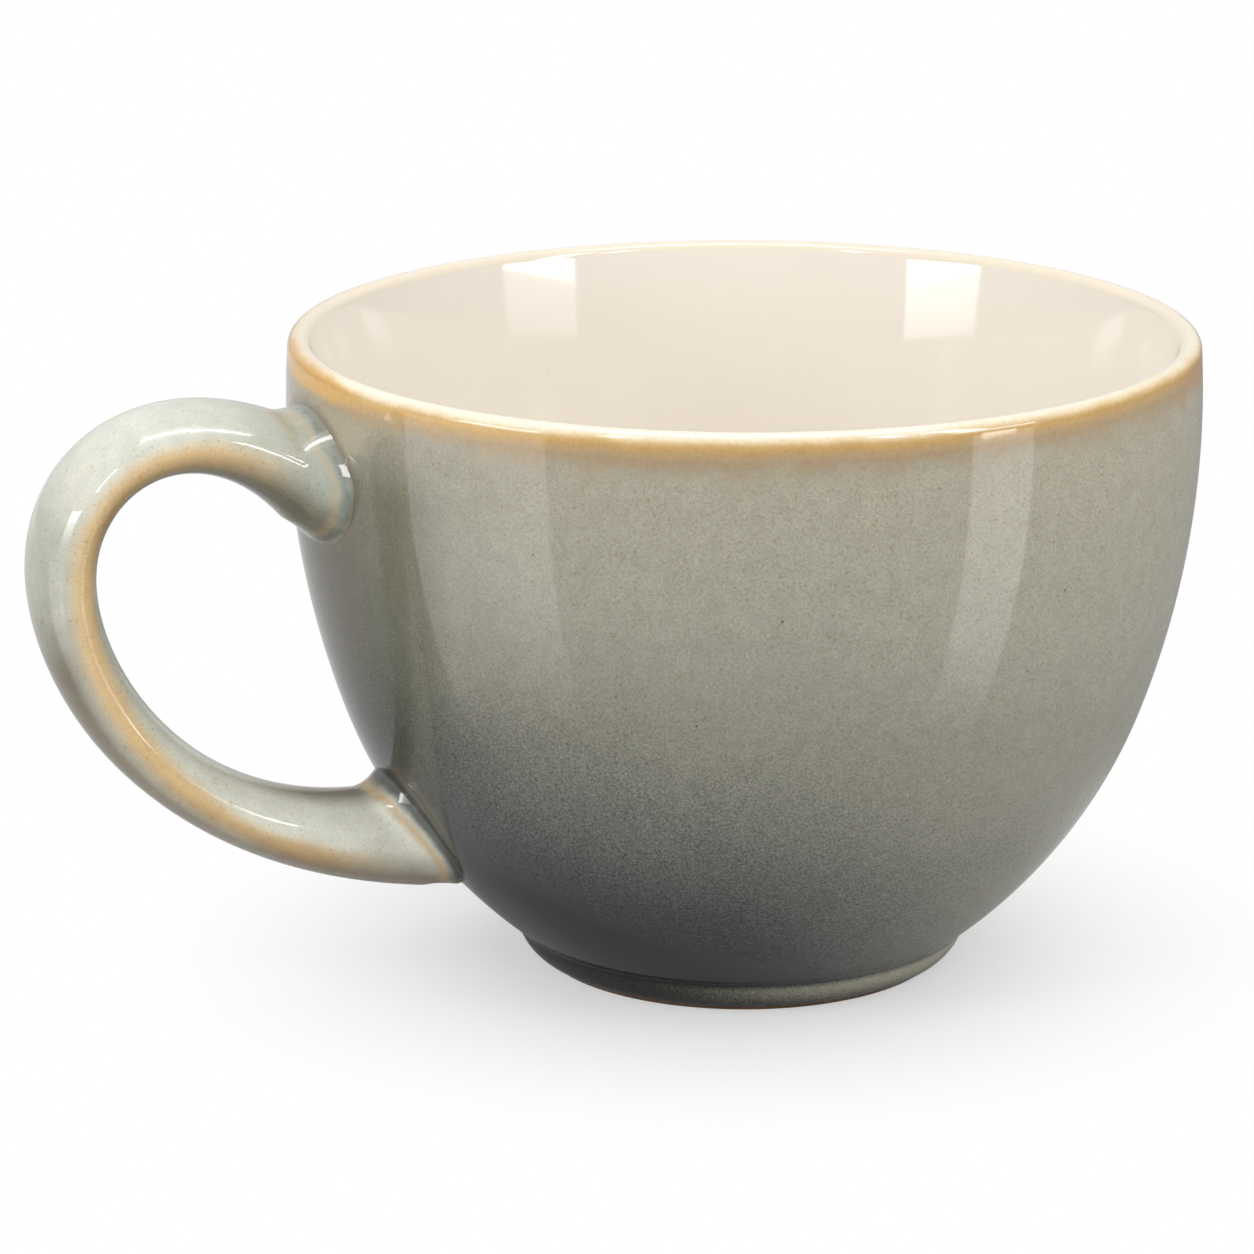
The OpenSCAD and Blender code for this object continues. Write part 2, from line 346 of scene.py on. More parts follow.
# The outside is dipped in a grey-green reactive glaze, darker and bluer towards the foot; painted shade
# deepens it low and to the left.
# It is one thin coat over the wall and the outside of the foot, drawn into a soft fillet at the crease.

foot_r = 24.3
bare_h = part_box("outer_glaze")[0].z / MM
foot_bulge = 0.50
crease_fillet = 1.6


def round_through(low, high, bulge):
    """Centre and radius of the arc from low to high that bulges outwards by bulge at its middle."""
    chord = high - low
    half = np.linalg.norm(chord) / 2
    radius = (half ** 2 + bulge ** 2) / (2 * bulge)
    out = np.array([chord[1], -chord[0]]) / (2 * half)
    return (low + high) / 2 + (bulge - radius) * out, radius


def fillet_between(first_c, first_r, second_c, second_r):
    """Point at the given distances from two centres, on the outer side of the line between them."""
    way = second_c - first_c
    far_apart = np.linalg.norm(way)
    way = way / far_apart
    on_line = (far_apart ** 2 + first_r ** 2 - second_r ** 2) / (2 * far_apart)
    aside = math.sqrt(first_r ** 2 - on_line ** 2)
    return first_c + on_line * way + aside * np.array([-way[1], way[0]]) * np.sign(-way[1])


def heading(centre, point):
    """The turn at which a point lies as seen from a centre."""
    return math.atan2(point[1] - centre[1], point[0] - centre[0])


def wall_turn(z):
    """The turn round the side's centre at which the wall has height z."""
    return math.asin((z - widest_z) / side_r)


foot_low = np.array([foot_r, bare_h])
bead_c, bead_r = round_through(foot_low, crease, foot_bulge)
fillet_c = fillet_between(bead_c, bead_r + crease_fillet, belly_c, belly_r + crease_fillet)
wall_face = joined(
    sweep(bead_c, bead_r, heading(bead_c, foot_low), heading(bead_c, fillet_c), pitch=0.25),
    sweep(fillet_c, crease_fillet, heading(fillet_c, bead_c), heading(fillet_c, belly_c), pitch=0.12),
    sweep(belly_c, belly_r, heading(belly_c, fillet_c), join_turn),
    sweep(side_c, side_r, join_turn, wall_turn(rim_z)),
)
wall = turned("wall_coat", coat_loop(wall_face, glaze_t, rolled=True))

# The way to the camera's right: the outside's painted light and shade, and its amber and toast, change along
# it.
camera_right_turn = math.radians(-22)
towards_camera_right = (math.cos(camera_right_turn), math.sin(camera_right_turn), 0)


def fade_line(tree, value, start, end, low=0.0, high=1.0):
    """As fade, with an even slope between start and end."""
    inputs = {"Value": value, "From Min": start, "From Max": end, "To Min": low, "To Max": high}
    return put(tree, "ShaderNodeMapRange", inputs).outputs[0]


def ladder(tree, value, rungs):
    """Colours in order along a value: each rung is the value and the swatch there."""
    low, high = rungs[0][0], rungs[-1][0]
    ramp = put(tree, "ShaderNodeValToRGB", {0: fade_line(tree, value, low, high)})
    stops = ramp.color_ramp.elements
    for mark, _ in rungs[1:-1]:
        stops.new((mark - low) / (high - low))
    for stop, (_, swatch) in zip(stops, rungs):
        stop.color = from_swatch(*swatch)
    return ramp.outputs[0]


def times(tree, first, *others):
    """Several values multiplied together."""
    for value in others:
        first = sums(tree, "MULTIPLY", first, value)
    return first


def dot(tree, first, second):
    """How far one vector reaches along another."""
    return put(tree, "ShaderNodeVectorMath", {0: first, 1: second}, operation="DOT_PRODUCT").outputs["Value"]


def tinted(tree, share, colour, tint):
    """The colour with a tint washed over it by its share."""
    return over(tree, share, colour, over(tree, 1.0, colour, tint, "MULTIPLY"))


def mottled(tree, place, colour, depth):
    """Fine fibrous mottle that a crystalline glaze fires with: light and dark grain, and tan flecks."""
    fibre = grain(tree, place, 0.24, detail=2.0, rough=0.6, swirl=0.8)
    fleck = grain(tree, place, 0.42, detail=2.0, swirl=0.6)
    blot = grain(tree, place, 2.4, detail=3.0)
    low, high = sums(tree, "SUBTRACT", 1.0, depth), sums(tree, "ADD", 1.0, depth)
    colour = over(tree, 1.0, colour, fade(tree, fibre, 0.25, 0.75, low, high), "MULTIPLY")
    colour = over(tree, 1.0, colour, fade(tree, blot, 0.25, 0.75, 0.95, 1.05), "MULTIPLY")
    return tinted(tree, fade(tree, fleck, 0.58, 0.74), colour, from_swatch(238, 224, 204))


def dipped_wall(tree, place, part, sideways):
    """The grey-green coat: an ombre deepened and leant left by painted shade, painted light on the foot and
    right, painted shade by the handle.
    """
    height = part[2]
    # The lean is painted shade: the wall runs darker to the left and lighter to the right, most of all low
    # down.
    lean = times(tree, fade_line(tree, height, 8.0, 60.0, 0.45, 0.05),
                 fade(tree, sideways, -4.0, 10.0, 1.0, 1.35))
    lean = sums(tree, "ADD", lean, fade(tree, height, 22.0, 8.0, 0.0, 0.36))
    drift = fade(tree, grain(tree, place, 18.0, detail=4.0), 0.25, 0.75, -1.3, 1.3)
    level = sums(tree, "ADD", sums(tree, "ADD", height, times(tree, sideways, lean)), drift)
    # The ombre is partly the glaze's own and partly painted shade, darkest at the foot.
    ombre = ladder(tree, level, ((2, (20, 21, 26)), (14, (65, 66, 68)), (26, (105, 106, 100)),
                                 (39, (140, 139, 126)), (55, (161, 159, 144)), (74, (172, 166, 148))))
    # A paler band on the foot bead is painted light: full to the right, faint to the left.
    foot_share = times(tree, fade(tree, height, crease[1] + 0.1, crease[1] - 0.8),
                       fade(tree, sideways, -12.0, 20.0, 0.06, 1.0), fade(tree, height, 0.5, 3.2, 0.15, 1.0))
    colour = over(tree, foot_share, ombre, from_swatch(172, 170, 152))
    # Painted light pales the right of the wall above mid-height; painted shade deepens a strip on its left.
    paler = times(tree, fade(tree, sideways, -10.0, 42.0, 0.0, 0.10), fade(tree, height, 25.0, 55.0))
    deeper = times(tree, fade(tree, sideways, -22.0, -30.0, 0.0, 0.10), fade(tree, sideways, -44.0, -40.0),
                   fade(tree, height, 26.0, 40.0))
    tone = sums(tree, "ADD", 1.02, sums(tree, "SUBTRACT", paler, deeper))
    colour = over(tree, 1.0, colour, tone, "MULTIPLY")
    # Painted shadow and reflection of the handle darken the wall beside it, on its front side, fading out
    # near the lip.
    facing = fade(tree, part[1], 22.0, 8.0)
    shade = times(tree, fade(tree, sideways, -30.0, -38.5, 0.0, 0.78), facing,
                  fade(tree, height, 62.0, 71.0, 1.0, 0.1), fade(tree, height, 18.0, 34.0, 0.5, 1.0))
    colour = tinted(tree, shade, colour, from_swatch(168, 172, 160))
    # Further left, painted shade with the lilac cast of a painted reflection, fading out towards the lip.
    lilac = times(tree, fade(tree, sideways, -40.0, -45.0), fade(tree, height, 60.0, 68.0, 1.0, 0.0), facing)
    colour = tinted(tree, lilac, colour, from_swatch(232, 222, 222))
    depth = times(tree, fade(tree, level, 8.0, 50.0, 0.80, 0.17), fade(tree, foot_share, 0.0, 0.8, 1.0, 0.3))
    colour = mottled(tree, place, colour, depth)
    return over(tree, freckles(tree, place, 2.6, 0.28, 0.12), colour, from_swatch(108, 90, 66))


def honey_band(tree, place, sideways, drop):
    """The coat where it runs thin below the lip: cream, honey, then grey, with amber left and toast right."""
    browner = sums(tree, "ADD", fade(tree, sideways, -40.0, -50.0, 0.0, 0.9),
                   fade(tree, sideways, 15.0, 50.0, 0.0, 0.5))
    rungs = ((0.1, (243, 234, 216)), (0.45, (242, 230, 206)), (0.85, (231, 206, 162)), (1.2, (214, 179, 123)),
             (1.6, (199, 163, 104)), (2.05, (189, 157, 110)), (2.5, (180, 155, 119)), (3.0, (172, 149, 118)),
             (3.7, (169, 153, 127)), (5.2, (169, 159, 140)))
    honey = ladder(tree, sums(tree, "ADD", drop, browner), rungs)
    amber = times(tree, fade(tree, sideways, -40.0, -48.5, 0.0, 0.9), fade(tree, drop, 0.2, 0.8),
                  fade(tree, drop, 2.2, 3.4, 1.0, 0.0))
    honey = over(tree, amber, honey, from_swatch(222, 173, 97))
    toasted = times(tree, fade(tree, sideways, 47.5, 51.5, 0.0, 0.7), fade(tree, drop, 0.5, 1.3))
    honey = over(tree, toasted, honey, from_swatch(182, 138, 78))
    honey = over(tree, 1.0, honey, fade(tree, grain(tree, place, 0.5), 0.25, 0.75, 0.94, 1.06), "MULTIPLY")
    aside = put(tree, "ShaderNodeMath", {0: sideways}, operation="ABSOLUTE").outputs[0]
    thinner = times(tree, fade(tree, aside, 10.0, 38.0, 0.0, 0.13), fade(tree, drop, 0.9, 1.6))
    return over(tree, 1.0, honey, sums(tree, "ADD", 1.0, thinner), "MULTIPLY")


def outside_glaze(tree, place):
    """Colour of the whole outside: the dipped wall, and the honey band that covers it down from the lip."""
    part = put(tree, "ShaderNodeSeparateXYZ", {0: place}).outputs
    sideways = dot(tree, place, towards_camera_right)
    wobble = fade(tree, grain(tree, place, 7.0, detail=4.0, rough=0.6), 0.25, 0.75, -0.2, 0.2)
    drop = sums(tree, "ADD", sums(tree, "SUBTRACT", cup_h, part[2]), wobble)
    caught = fade(tree, part[0], -49.5, -52.0, 0.0, -3.0)
    ragged = fade(tree, grain(tree, place, 6.0, detail=3.0), 0.3, 0.7, -1.2, 1.2)
    runs_to = sums(tree, "ADD", drop, sums(tree, "ADD", caught, ragged))
    wall_colour = dipped_wall(tree, place, part, sideways)
    honey = honey_band(tree, place, sideways, drop)
    return over(tree, fade(tree, runs_to, 2.8, 6.0, 1.0, 0.0), wall_colour, honey)


def painted(tree, name):
    """A value painted on the points of a coat, one for each."""
    return put(tree, "ShaderNodeAttribute", attribute_name=name).outputs["Fac"]


wall_finish, tree, shader = new_finish("grey_green_ombre")
place = in_mm(tree)
near_root = painted(tree, "root_near")
pool = times(tree, fade(tree, near_root, 0.45, 1.0), fade(tree, grain(tree, place, 3.0), 0.2, 0.7, 0.3, 0.7))
colour = over(tree, pool, outside_glaze(tree, place), from_swatch(122, 112, 92))
glossy(tree, shader, colour, place, sheen=0.05)
wall.data.materials.append(wall_finish)
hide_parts("outer_glaze")


# The handle is dipped too: a paler celadon where the coat is thick, breaking amber along its two edges.
# The coat follows the pulled clay and draws into a fillet where each root meets the wall.

upper_rise = math.radians(39)
upper_pull = 19
root_clear = 1.6
root_fillet = 2
coat_reach = 4.0
coat_draw = 2.2
stand_off = 29
reach_drop = 9
upper_bow = 13.3
lower_bow = 13.4
lower_root_z = 18.8
lower_pull = 28
handle_t = 6.6
handle_w = 14.4
tail_w = 11.4
upper_flare_t = 3.6
upper_flare_w = 6.2
upper_flare_l = 25
lower_flare_t = 5.6
lower_flare_l = 34
around = 96
along_steps = 150
fillet_steps = 22
search_steps = 1500


def wall_centre(z):
    """Centre and radius of the arc that carries the outer wall at each height, as columns."""
    upper = (np.asarray(z) > join_z)[..., None]
    return np.where(upper, side_c, belly_c), np.where(upper[..., 0], side_r, belly_r)


def wall_radius(z):
    """How far the outer wall stands from the cup's axis at height z."""
    centre, radius = wall_centre(np.array(z, float))
    return centre[..., 0] + np.sqrt(radius ** 2 - (z - centre[..., 1]) ** 2)


upper_root_z = rim_z - root_clear - root_fillet - (handle_t + upper_flare_t) / 2 / math.cos(upper_rise)
upper_dir = np.array([math.cos(upper_rise), math.sin(upper_rise)])
upper_root = np.array([wall_radius(upper_root_z), upper_root_z])
lower_root = np.array([wall_radius(lower_root_z), lower_root_z])
far_point = np.array([cup_r + stand_off, upper_root_z - reach_drop])
upper_line = [upper_root, upper_root + upper_pull * upper_dir, far_point + [0, upper_bow], far_point]
lower_line = [far_point, far_point - [0, lower_bow], lower_root + [lower_pull, 0], lower_root]


def on_cubic(p, t):
    """Points of a curve pulled by four points, and its direction there."""
    t = t[..., None]
    point = (1 - t) ** 3 * p[0] + 3 * (1 - t) ** 2 * t * p[1] + 3 * (1 - t) * t ** 2 * p[2] + t ** 3 * p[3]
    way = (1 - t) ** 2 * (p[1] - p[0]) + 2 * (1 - t) * t * (p[2] - p[1]) + t ** 2 * (p[3] - p[2])
    return point, way / np.linalg.norm(way, axis=-1, keepdims=True)


def handle_line(s):
    """Centre line of the loop and its direction. Stations 0 to 1 are the upper curve, 1 to 2 the lower one,
    and past both ends it runs on straight."""
    s = np.asarray(s, float)
    up, up_way = on_cubic(upper_line, np.clip(s, 0, 1))
    down, down_way = on_cubic(lower_line, np.clip(s - 1, 0, 1))
    first = (s < 1)[..., None]
    point = np.where(first, up, down)
    point = point + np.minimum(s, 0)[..., None] * 3 * upper_pull * upper_dir
    point = point - np.maximum(s - 2, 0)[..., None] * 3 * lower_pull * np.array([1, 0])
    return point, np.where(first, up_way, down_way)


def flare(point, root, length):
    """Share of a root's flare at a point: full at the root, none from length on."""
    return np.maximum(0, 1 - np.linalg.norm(point - root, axis=-1) / length) ** 2


def off_wall(point):
    """Distance of points outside the wall, and the wall's normal there."""
    r = np.hypot(point[..., 0], point[..., 1])
    centre, radius = wall_centre(point[..., 2])
    v = np.stack([r, point[..., 2]], -1) - centre
    size = np.linalg.norm(v, axis=-1)
    normal = np.stack([v[..., 0] * point[..., 0] / r, v[..., 0] * point[..., 1] / r, v[..., 1]], -1)
    return size - radius, normal / size[..., None]


def unit(v):
    """Vectors brought to length one."""
    return v / np.linalg.norm(v, axis=-1, keepdims=True)


def handle_skin(s, a):
    """Points of the glazed handle at stations s and angles a round its oval, with a fillet at the wall."""
    p, way = handle_line(s)
    at_upper = flare(p, upper_root, upper_flare_l)
    at_lower = flare(p, lower_root, lower_flare_l)
    down = (upper_root_z - np.clip(p[..., 1], lower_root_z, upper_root_z)) / (upper_root_z - lower_root_z)
    half_t = (handle_t + upper_flare_t * at_upper + lower_flare_t * at_lower) / 2
    half_w = (handle_w + (tail_w - handle_w) * down + upper_flare_w * at_upper) / 2
    across = np.stack([-way[..., 1], way[..., 0]], -1)
    lift = np.cos(a) / half_t
    normal = unit(np.stack([-lift * across[..., 0], np.sin(a) / half_w, lift * across[..., 1]], -1))
    r = p + (half_t * np.cos(a))[..., None] * across
    point = np.stack([-r[..., 0], half_w * np.sin(a), r[..., 1]], -1)
    gap, wall_n = off_wall(point)
    near = np.clip(1 - gap / coat_reach, 0, 1)
    drawn = coat_draw * near ** 2 * np.maximum(0, 1 - (wall_n * normal).sum(-1))
    return point + (glaze_t + drawn)[..., None] * normal


angles = np.arange(around) * 2 * math.pi / around
edge_sink = 0.04


def root_stations(inside, outside):
    """The station at which each line of the skin leaves the wall, found between two stations."""
    search = np.linspace(inside, outside, search_steps)
    s, a = np.meshgrid(search, angles, indexing="ij")
    gap = off_wall(handle_skin(s, a))[0] + edge_sink
    last_in = len(search) - 1 - np.argmax(gap[::-1] < 0, axis=0)
    columns = np.arange(around)
    g0, g1 = gap[last_in, columns], gap[last_in + 1, columns]
    return search[last_in] + (search[1] - search[0]) * g0 / (g0 - g1)


fillet_reach = 6.0
upper_start = root_stations(-0.25, 0.7)
lower_start = root_stations(2.2, 1.4)
upper_end = upper_start + fillet_reach / (3 * upper_pull)
lower_end = lower_start - fillet_reach / (3 * lower_pull)
t = np.linspace(0, 1, fillet_steps)[:-1, None]
draw_in = t ** 1.5
body_t = np.linspace(0, 1, along_steps)[:, None]
stations = np.concatenate([
    upper_start + draw_in * (upper_end - upper_start),
    upper_end + body_t * (lower_end - upper_end),
    (lower_start + draw_in * (lower_end - lower_start))[::-1],
])
skin = handle_skin(stations, np.broadcast_to(angles, stations.shape))


def skin_normals(grid):
    """Normals of a closed band of points, outward from the loop's own centre line."""
    down = np.gradient(grid, axis=0)
    over_way = np.roll(grid, -1, axis=1) - np.roll(grid, 1, axis=1)
    normal = unit(np.cross(down, over_way))
    outward = grid - grid.mean(axis=1, keepdims=True)
    return normal * np.sign((normal * outward).sum(-1).mean())


rows = len(skin)
thin_rows = 4
depth = np.ones(rows)
depth[:thin_rows] = np.arange(thin_rows) / thin_rows
depth[-thin_rows:] = depth[:thin_rows][::-1]
under = skin - glaze_t * depth[:, None, None] * skin_normals(skin)
points = [tuple(p * MM) for p in skin.reshape(-1, 3)]
under_row = {}
for i in range(rows):
    if 0 < i < rows - 1:
        under_row[i] = len(points)
        points += [tuple(p * MM) for p in under[i]]
    else:
        under_row[i] = i * around
faces = []
for i in range(rows - 1):
    for k in range(around):
        n = (k + 1) % around
        faces.append((i * around + k, i * around + n, (i + 1) * around + n, (i + 1) * around + k))
        low, high = under_row[i], under_row[i + 1]
        faces.append((low + n, low + k, high + k, high + n))
handle = as_piece("handle_coat", points, faces, crisp=80)

# Coat thickness, painted light and painted shade, painted on its points by the way to a root and the turn
# round the oval.
steps = np.linalg.norm(np.diff(skin, axis=0), axis=-1)
run = np.concatenate([np.zeros((1, around)), np.cumsum(steps, axis=0)])
from_root = np.minimum(run, run[-1] - run)
turn_off_outer = np.abs((angles + math.pi) % (2 * math.pi) - math.pi)
edge_stations = (0.5, 1.0, 1.45, 1.8)
edge_turn = np.interp(stations, edge_stations, np.radians((102, 104, 91, 68)))
edge_half = np.interp(stations, edge_stations, np.radians((38, 42, 35, 29)))
off_edge = np.abs(turn_off_outer - edge_turn) / edge_half
towards_tail = np.interp(stations, (1.1, 1.5), (0, 1))
# Painted light falls on the top of the loop.
painted_light_top = np.interp(stations, (0.15, 0.4, 0.75, 0.95), (0, 1, 1, 0))
# Painted shade: the underside of the top of the loop, the outer underside of the lower arm, and the tail's
# inner edge.
painted_shade_under_loop = (np.interp(turn_off_outer, np.radians((90, 128)), (0, 1))
              * np.interp(stations, (0.1, 0.75, 1.0), (1, 1, 0)))
painted_shade_under_edge = (np.interp(turn_off_outer, np.radians((48, 88)), (1, 0))
              * np.interp(stations, (0.6, 0.9, 1.05, 1.2), (0, 0.2, 0.3, 1)))
painted_shade_tail_edge = (np.interp(turn_off_outer, np.radians((140, 165)), (0, 0.9))
              * np.interp(stations, (1.55, 1.8), (0, 1)))
painted_shade_under_edge = np.maximum(painted_shade_under_edge, painted_shade_tail_edge)


def paint(piece, name, values):
    """A value for each point of the handle's coat, alike on face and clay side, read by its finish."""
    both = np.concatenate([values.reshape(-1), values[1:-1].reshape(-1)])
    piece.data.attributes.new(name, "FLOAT", "POINT").data.foreach_set("value", both.astype(np.float32))


paint(handle, "from_root", from_root)
paint(handle, "off_edge", off_edge)
paint(handle, "painted_shade_under_loop", painted_shade_under_loop)
paint(handle, "towards_tail", towards_tail)
paint(handle, "painted_light_top", painted_light_top)
paint(handle, "painted_shade_under_edge", painted_shade_under_edge)

# The glaze pools on the wall round each root, so the wall's finish reads how near its points are to one.
root_zone = 40
pool_reach = 3.0
spots = np.empty(len(wall.data.vertices) * 3, np.float32)
wall.data.vertices.foreach_get("co", spots)
spots = spots.reshape(-1, 3) / MM
near = np.zeros(len(spots), np.float32)
for loop in (skin[0], skin[-1]):
    close = np.nonzero(np.linalg.norm(spots - loop.mean(0), axis=1) < root_zone)[0]
    gaps = np.linalg.norm(spots[close, None] - loop[None], axis=-1).min(1)
    near[close] = np.maximum(near[close], 1 - np.clip(gaps / pool_reach, 0, 1))
wall.data.attributes.new("root_near", "FLOAT", "POINT").data.foreach_set("value", near)

handle_finish, tree, shader = new_finish("celadon_breaking_amber")
place = in_mm(tree)
root_mm = painted(tree, "from_root")
from_edge = painted(tree, "off_edge")
tail = painted(tree, "towards_tail")
top = painted(tree, "painted_light_top")
at_top = sums(tree, "SUBTRACT", 1.0, tail)

cloud = grain(tree, place, 7.0, detail=3.0)
colour = over(tree, fade(tree, cloud, 0.3, 0.7), from_swatch(186, 190, 176), from_swatch(203, 203, 189))
# Painted light: the tail and the top of the loop are drawn paler, where light falls on them.
colour = over(tree, times(tree, tail, 0.9), colour, from_swatch(243, 244, 228))
colour = over(tree, times(tree, top, 0.45), colour, from_swatch(226, 227, 214))
break_at = sums(tree, "ADD", from_edge, fade(tree, cloud, 0.25, 0.75, -0.12, 0.12))
amber = times(tree, fade(tree, break_at, 0.15, 1.0, 1.0, 0.0), fade(tree, root_mm, 5.0, 18.0))
colour = over(tree, amber, colour, from_swatch(230, 199, 148))
# Painted shade darkens the loop's undersides.
colour = tinted(tree, painted(tree, "painted_shade_under_edge"), colour, from_swatch(164, 154, 146))
colour = tinted(tree, painted(tree, "painted_shade_under_loop"), colour, from_swatch(164, 154, 138))
# Near the upper root the handle takes painted shade.
root_shade = times(tree, at_top, fade(tree, root_mm, 2.0, 14.0, 1.0, 0.0))
colour = tinted(tree, root_shade, colour, from_swatch(224, 228, 227))
colour = mottled(tree, place, colour, depth=0.06)

pool_edge = sums(tree, "ADD", root_mm, fade(tree, grain(tree, place, 4.0, detail=1.0), 0.25, 0.75, -0.3, 0.3))
amber_hair = times(tree, fade(tree, pool_edge, 1.4, 2.2), fade(tree, pool_edge, 2.3, 3.5, 1.0, 0.0),
                   fade(tree, tail, 0.0, 1.0, 0.28, 0.65))
colour = over(tree, amber_hair, colour, from_swatch(204, 168, 116))
# At the tail the pool is darker and wider: pooled glaze, with painted shadow where the tail meets the wall.
drawn_in = sums(tree, "SUBTRACT", pool_edge, fade(tree, tail, 0.0, 1.0, 1.1, 1.3))
pool_and_shadow_tone = over(tree, tail, from_swatch(112, 117, 112), from_swatch(70, 75, 77))
patchy = times(tree, at_top, fade(tree, grain(tree, place, 2.2, detail=2.0), 0.35, 0.65, 0.25, 0.7),
               fade(tree, drawn_in, -0.2, 1.1, 1.0, 0.0))
even = times(tree, tail, fade(tree, drawn_in, -0.7, 0.9, 0.88, 0.0))
colour = over(tree, sums(tree, "ADD", patchy, even), colour, pool_and_shadow_tone)
skirt = times(tree, at_top, fade(tree, drawn_in, -0.9, 0.0, 1.0, 0.0))
colour = over(tree, skirt, colour, from_swatch(146, 143, 127))
colour = over(tree, freckles(tree, place, 5.0, 0.26, 0.12), colour, from_swatch(130, 104, 70))
glossy(tree, shader, colour, place, sheen=0.05)
handle.data.materials.append(handle_finish)
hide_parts("handle_glaze")


# Over the lip the glaze runs thin, so it breaks to honey: cream on top, amber where it ends on the outside.
# It is the same fired coat, and it closes the gap between the liner and the outside.

rim_face = joined(
    sweep(side_c, side_r, wall_turn(rim_z), lip_rise, pitch=0.35),
    sweep(lip_c, lip_r, lip_rise, lip_end, pitch=0.15),
    thickened(np.array([lean_at(z) for z in np.linspace(lip_in[1], rim_z, 7)])),
)
inner_half = np.where(rim_face[:, 0] < lip_c[0], build_up(rim_face[:, 1]), 0)
rim = turned("rim_coat", coat_loop(rim_face, glaze_t + inner_half))
rim_finish, tree, shader = new_finish("honey_lip")
place = in_mm(tree)
colour = outside_glaze(tree, place)
part = put(tree, "ShaderNodeSeparateXYZ", {0: place}).outputs
flat_part = put(tree, "ShaderNodeCombineXYZ", {0: part[0], 1: part[1]}).outputs[0]
from_axis = put(tree, "ShaderNodeVectorMath", {0: flat_part}, operation="LENGTH").outputs["Value"]
inner_side = fade(tree, from_axis, float(lip_c[0]) - 0.5, float(lip_c[0]) + 0.8, 1.0, 0.0)
lip_top = fade(tree, part[2], cup_h - 1.4, cup_h - 0.3)
lip_cream = tinted(tree, lip_top, cream(tree, place), from_swatch(252, 247, 236))
colour = over(tree, inner_side, colour, lip_cream)
glossy(tree, shader, colour, place, sheen=0.05)
rim.data.materials.append(rim_finish)
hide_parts("rim_glaze")


# The camera stands where the photograph was taken: a long lens, looking down on the lip by look_down_from.
# The handle is to the left, and the camera stands handle_turn round towards it.

handle_turn = math.radians(22)
stand_back = 0.640
look_down_from = math.radians(18.94)
aim_left = math.radians(1.28)
aim_down = math.radians(15.56)
picture_px = 1254
focal_px = 5351
to_cup = Matrix.Rotation(-handle_turn, 3, "Z")
lens = bpy.data.cameras.new("camera")
lens.sensor_width = 36
lens.lens = lens.sensor_width * focal_px / picture_px
lens.clip_end = 50
camera = bpy.data.objects.new("camera", lens)
camera_back = stand_back * math.cos(look_down_from)
camera_up = stand_back * math.sin(look_down_from)
camera.location = to_cup @ Vector((0, -camera_back, camera_up))
aim = to_cup @ Vector((-math.sin(aim_left) * math.cos(aim_down), math.cos(aim_left) * math.cos(aim_down),
                       -math.sin(aim_down)))
camera.rotation_euler = aim.to_track_quat("-Z", "Y").to_euler()
bpy.context.scene.collection.objects.link(camera)
bpy.context.scene.camera = camera


# The floor is a plain white sheet. The camera sees it lifted towards white, with the cup's soft shadow kept.
# Away from the foot a reflection looks past it to the white surround, as it does on a small raised table.

floor_half = 4.0
floor_mesh = bpy.data.meshes.new("floor")
floor_mesh.from_pydata([(x, y, 0) for x, y in ((-1, -1), (1, -1), (1, 1), (-1, 1))], [], [(0, 1, 2, 3)])
floor_mesh.transform(Matrix.Scale(floor_half, 4))
floor = bpy.data.objects.new("floor", floor_mesh)
bpy.context.scene.collection.objects.link(floor)
floor_finish = bpy.data.materials.new("white_sheet")
floor_finish.use_nodes = True
tree = floor_finish.node_tree
tree.nodes.clear()
path = put(tree, "ShaderNodeLightPath").outputs
seen = sums(tree, "MAXIMUM", path["Is Camera Ray"], path["Is Transmission Ray"])
paper_grey = (0.65, 0.65, 0.65, 1)
paper_white = (0.92, 0.92, 0.92, 1)
paper = over(tree, seen, paper_grey, paper_white)
sheet = put(tree, "ShaderNodeBsdfDiffuse", {"Color": paper}).outputs[0]
white = put(tree, "ShaderNodeEmission", {"Color": (1, 1, 1, 1), "Strength": 1.0}).outputs[0]
ground = put(tree, "ShaderNodeTexCoord").outputs["Object"]
from_cup = put(tree, "ShaderNodeVectorMath", {0: ground}, operation="LENGTH").outputs["Value"]
lift = times(tree, seen, fade_line(tree, from_cup, 0.028, 0.072, 0.48, 1.0))
lifted = put(tree, "ShaderNodeMixShader", {0: lift, 1: sheet, 2: white}).outputs[0]
past_table = times(tree, path["Is Glossy Ray"], fade(tree, from_cup, 0.05, 0.09))
clear = put(tree, "ShaderNodeBsdfTransparent").outputs[0]
whole = put(tree, "ShaderNodeMixShader", {0: past_table, 1: lifted, 2: clear}).outputs[0]
tree.links.new(whole, put(tree, "ShaderNodeOutputMaterial").inputs["Surface"])
floor_mesh.materials.append(floor_finish)


# The light is a white surround, a softbox to each side of the camera, one overhead, and two small spots.
# Low panels, past the edge of the small table, show on the wall as pale upright reflections. Strips and
# cores light nothing: the glaze mirrors them as the fine highlights on the handle, the lip and the inside.

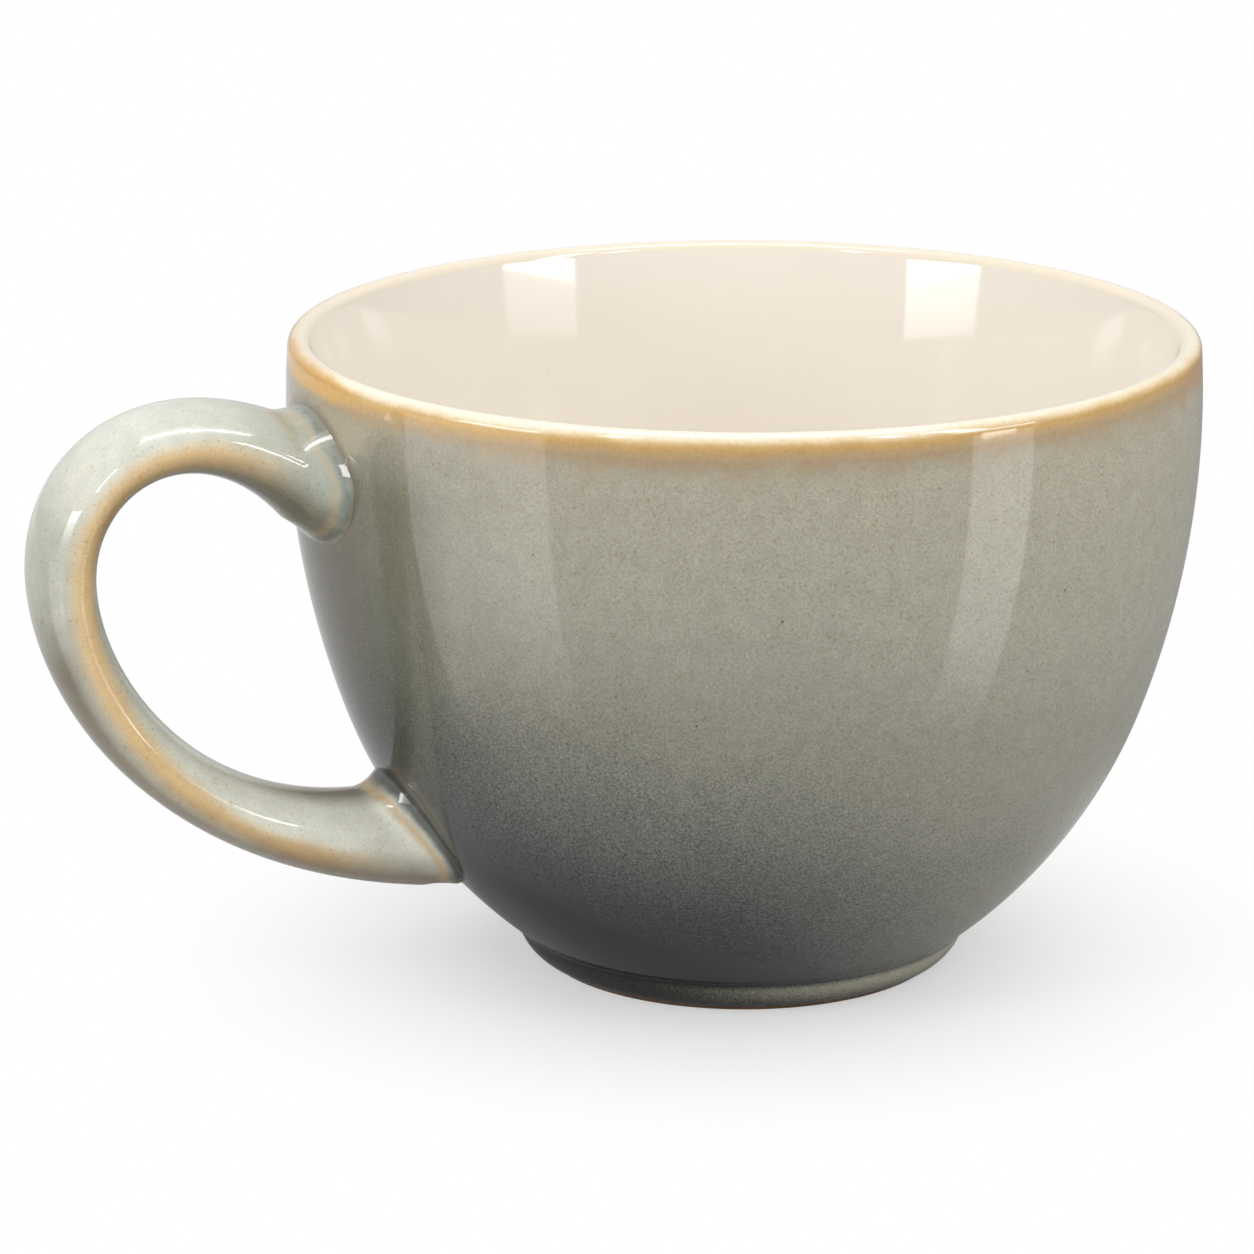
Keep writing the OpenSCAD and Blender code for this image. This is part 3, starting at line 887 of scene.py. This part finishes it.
surround = bpy.data.worlds.new("surround")
surround.use_nodes = True
tree = surround.node_tree
sky = put(tree, "ShaderNodeTexCoord").outputs["Generated"]
to_right = tuple(to_cup @ Vector((1, 0, 0)))
to_back = tuple(to_cup @ Vector((0, 1, 0)))
rightward = dot(tree, sky, to_right)
backward = dot(tree, sky, to_back)
upward = put(tree, "ShaderNodeSeparateXYZ", {0: sky}).outputs[2]
aside = put(tree, "ShaderNodeMath", {0: rightward}, operation="ABSOLUTE").outputs[0]
open_room = times(tree, fade(tree, aside, 0.5, 0.95, 0.97, 0.85), fade(tree, upward, -0.05, 0.5, 0.32, 1.0))
behind = fade(tree, backward, 0.7, 0.96)
back_wall = fade(tree, upward, -0.2, 0.1, 0.33, 0.75)
beyond = times(tree, behind, sums(tree, "SUBTRACT", back_wall, open_room))
room_glow = sums(tree, "ADD", open_room, beyond)
in_view = put(tree, "ShaderNodeLightPath").outputs["Is Camera Ray"]
tree.links.new(sums(tree, "MAXIMUM", room_glow, in_view), tree.nodes["Background"].inputs["Strength"])
tree.nodes["Background"].inputs["Color"].default_value = (1, 1, 1, 1)
bpy.context.scene.world = surround


def softbox(name, turn, distance, height, size, glow, dim_from=None, only_mirrored=False):
    """A flat light turned by degrees from the camera's side, facing the cup; glow 1 is the sheet's white.
    With dim_from it is full from that height up, and dims towards its lower edge. One that is only_mirrored
    shows in the glaze and lights nothing."""
    light = bpy.data.lights.new(name, "AREA")
    light.shape = "RECTANGLE"
    light.size, light.size_y = size
    light.energy = glow * math.pi * size[0] * size[1]
    lamp = bpy.data.objects.new(name, light)
    turn = math.radians(turn)
    lamp.location = to_cup @ Vector((distance * math.sin(turn), -distance * math.cos(turn), height))
    faces_to = Vector((0, 0, min(height, 0.05)))
    lamp.rotation_euler = (faces_to - lamp.location).to_track_quat("-Z", "Y").to_euler()
    lamp.visible_camera = False
    lamp.visible_diffuse = not only_mirrored
    bpy.context.scene.collection.objects.link(lamp)
    if dim_from is not None:
        light.use_nodes = True
        tree = light.node_tree
        spot = put(tree, "ShaderNodeNewGeometry").outputs["Position"]
        level = put(tree, "ShaderNodeSeparateXYZ", {0: spot}).outputs[2]
        full = fade(tree, level, height - size[1] / 2, dim_from)
        tree.links.new(full, tree.nodes["Emission"].inputs["Strength"])


softbox("right_softbox", 62, 0.50, 0.135, (0.20, 0.20), 3.0, dim_from=0.22)
softbox("left_softbox", -60, 0.50, 0.135, (0.20, 0.20), 6.0, dim_from=0.22)
softbox("right_low_panel", 63, 0.50, -0.20, (0.15, 0.46), 1.8, dim_from=-0.10)
softbox("left_low_panel", -56, 0.50, -0.20, (0.17, 0.46), 1.3, dim_from=-0.10)
softbox("left_side_panel", -76.5, 0.50, -0.20, (0.186, 0.46), 1.2, dim_from=-0.10)
softbox("left_back_panel", -138, 0.50, -0.20, (0.73, 0.46), 0.36, dim_from=-0.10)
softbox("overhead_softbox", 0, -0.05, 0.80, (0.60, 0.30), 1.7)
softbox("overhead_strip", 0, -0.05, 0.79, (0.60, 0.08), 10, only_mirrored=True)
softbox("right_core", 62, 0.49, 0.215, (0.20, 0.05), 7, only_mirrored=True)
softbox("left_core", -60, 0.49, 0.215, (0.20, 0.05), 7, only_mirrored=True)
softbox("right_tall_strip", 58, 0.60, 0.45, (0.10, 0.34), 14, only_mirrored=True)
softbox("right_low_strip", 62, 0.60, 0.022, (0.10, 0.036), 8, only_mirrored=True)
softbox("right_spot", 40, 0.60, 0.55, (0.06, 0.22), 12)
softbox("left_spot", -35, 0.60, 0.55, (0.06, 0.22), 12)

bpy.context.scene.view_settings.view_transform = "Standard"
